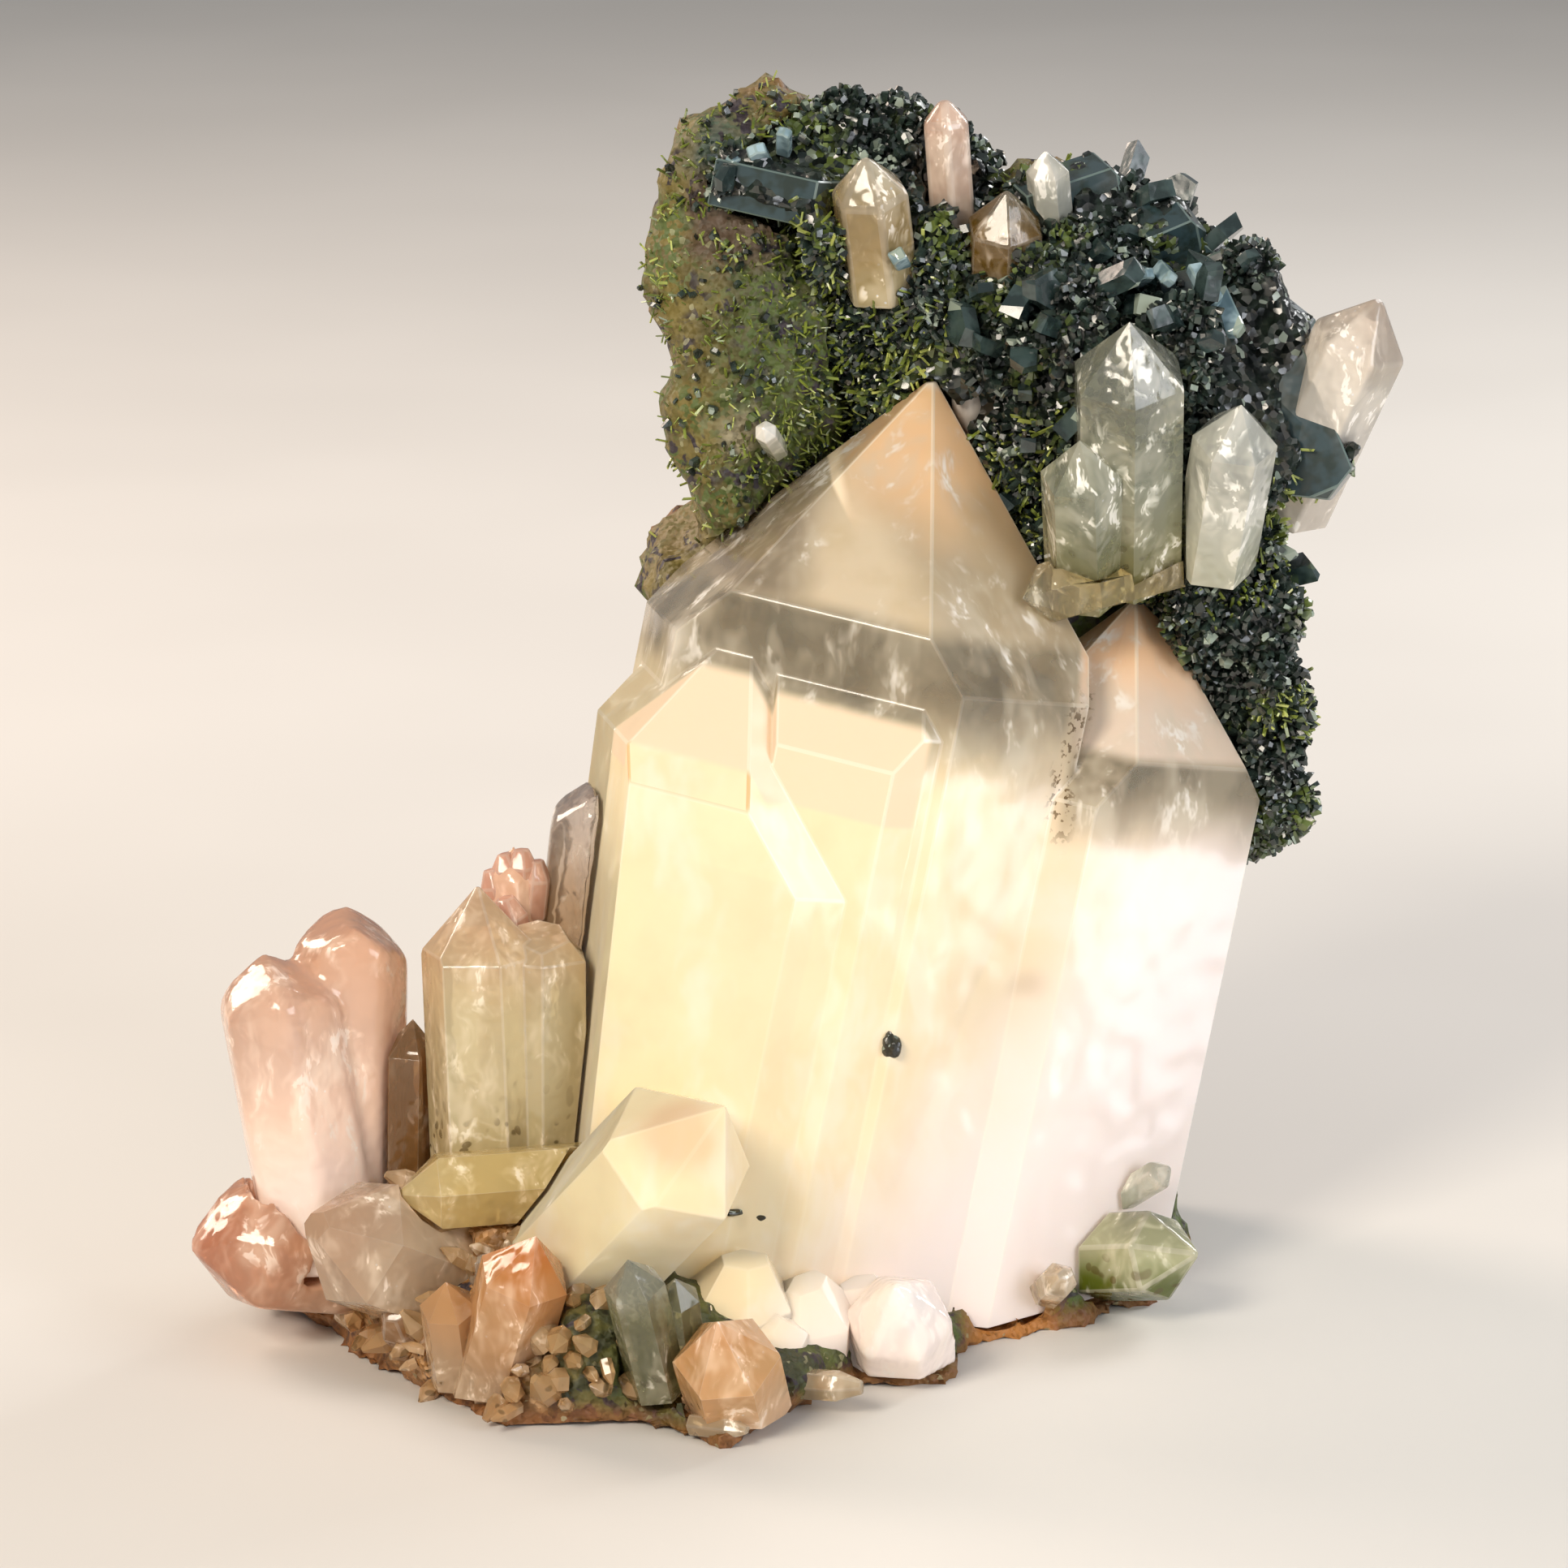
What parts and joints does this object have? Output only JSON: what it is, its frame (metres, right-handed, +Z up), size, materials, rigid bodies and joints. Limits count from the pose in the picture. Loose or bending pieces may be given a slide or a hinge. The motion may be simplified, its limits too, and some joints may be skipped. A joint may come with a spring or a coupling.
{
  "type": "epidote with quartz",
  "caption": "Mineral specimen: pale parallel quartz crystals and dark green epidote druse on olive-brown matrix rock, cut flat underneath so that it stands.",
  "frame": {"origin": "centre of the bounding box's base, on the flat cut that the specimen stands on", "axes": "+Z up along the specimen's height, -Y to the front where the large quartz faces show, +X to the right"},
  "size_m": [0.076, 0.0543, 0.0764],
  "materials": {
    "matrix_rock": "rough olive-brown rock, broken surface",
    "epidote": "glossy blackish-green crystals",
    "cream_quartz": "milky cream quartz, clear towards the tips",
    "peach_quartz": "cloudy peach quartz",
    "yellow_quartz": "cloudy yellow-olive quartz",
    "smoky_quartz": "brown smoky quartz",
    "orange_quartz": "orange-tipped cloudy quartz",
    "milky_quartz": "milk-white quartz",
    "golden_quartz": "golden-brown clear quartz",
    "clear_quartz": "water-clear quartz with fractures",
    "green_quartz": "clear quartz with green inclusions"
  },
  "bodies": {
    "root": {"matrix_rock": "matrix_rock", "epidote_druse": "epidote", "main_quartz_group": "cream_quartz", "left_quartz_pair": "peach_quartz", "standing_quartz": "yellow_quartz", "clear_round_quartz": "smoky_quartz", "plated_quartz": "peach_quartz", "smoky_gap_quartz": "smoky_quartz", "lying_quartz": "yellow_quartz", "low_left_quartz": "orange_quartz", "low_beige_quartz": "peach_quartz", "orange_tipped_quartz": "orange_quartz", "clear_green_quartz": "green_quartz", "orange_rim_quartz": "orange_quartz", "milky_quartz_lump": "milky_quartz", "included_quartz": "green_quartz", "rim_nub_quartz": "clear_quartz", "peach_top_quartz": "peach_quartz", "golden_quartz": "golden_quartz", "amber_quartz": "golden_quartz", "white_top_quartz": "clear_quartz", "outer_quartz": "clear_quartz", "grey_green_quartz": "clear_quartz", "white_quartz": "clear_quartz", "lying_clear_quartz": "clear_quartz", "apex_side_quartz": "smoky_quartz", "wall_quartz": "clear_quartz"}
  },
  "joints": []
}
